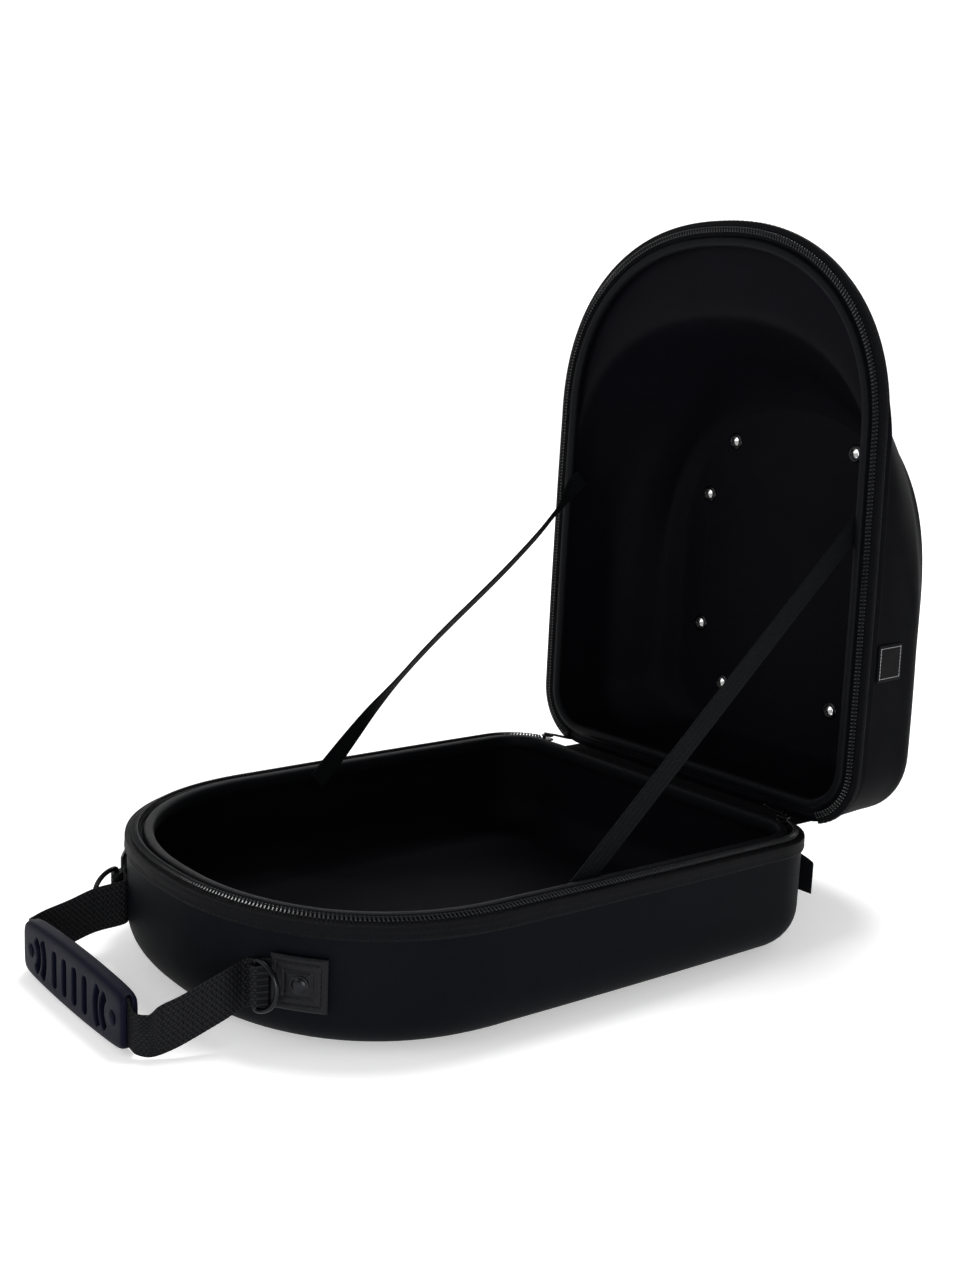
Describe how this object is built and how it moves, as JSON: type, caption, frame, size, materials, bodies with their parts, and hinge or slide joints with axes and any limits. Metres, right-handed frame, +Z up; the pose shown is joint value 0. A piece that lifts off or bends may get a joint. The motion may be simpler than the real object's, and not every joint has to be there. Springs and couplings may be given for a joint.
{
  "type": "baseball cap carrier case",
  "caption": "Hard-shell case for carrying caps, standing open: shallow tray and domed lid with zipped rims, cloth hinge, stay straps, vent eyelets and a webbing handle with moulded grip.",
  "frame": {"origin": "centre of the tray's flat underside, on the surface that the case stands on", "axes": "+Z up; +Y from the handle end to the hinge end, where the open lid stands; +X across the width"},
  "size_m": [0.2554, 0.4688, 0.3822],
  "materials": {
    "shell_cloth": "black moulded polyester cloth over foam, satin, fine weave",
    "rim_cloth": "black padded cloth binding",
    "zip_tape": "black woven zip tape",
    "zip_coil": "black nylon coil teeth",
    "hinge_cloth": "black cloth strip",
    "strap_webbing": "black flat woven strap",
    "handle_webbing": "black ribbed polypropylene webbing",
    "grip_rubber": "navy black moulded soft rubber, satin",
    "patch_leather": "black pebbled artificial leather, stitched",
    "black_metal": "black plated metal, glossy",
    "eyelet_metal": "dark nickel plated, glossy",
    "label_cloth": "black woven label, bare, with a stitched edge"
  },
  "bodies": {
    "root": {"base_tray": "shell_cloth", "lid_shell": "shell_cloth", "tray_rim_band": "rim_cloth", "lid_rim_band": "rim_cloth", "tray_zip_tape": "zip_tape", "lid_zip_tape": "zip_tape", "tray_zip_chain": "zip_coil", "lid_zip_chain": "zip_coil", "zip_slider_right": "black_metal", "zip_slider_left": "black_metal", "hinge_strip": "hinge_cloth", "stay_strap_right": "strap_webbing", "stay_strap_left": "strap_webbing", "handle_webbing": "handle_webbing", "handle_grip": "grip_rubber", "grip_rivet_right": "grip_rubber", "grip_rivet_left": "grip_rubber", "anchor_patch_right": "patch_leather", "anchor_patch_left": "patch_leather", "anchor_rivet_right": "black_metal", "anchor_rivet_left": "black_metal", "ring_keeper_right": "strap_webbing", "ring_keeper_left": "strap_webbing", "d_ring_right": "black_metal", "d_ring_left": "black_metal", "lid_label": "label_cloth", "eyelet_1": "eyelet_metal", "eyelet_2": "eyelet_metal", "eyelet_3": "eyelet_metal", "eyelet_4": "eyelet_metal", "eyelet_5": "eyelet_metal", "eyelet_6": "eyelet_metal", "eyelet_7": "eyelet_metal", "eyelet_8": "eyelet_metal"}
  },
  "joints": []
}
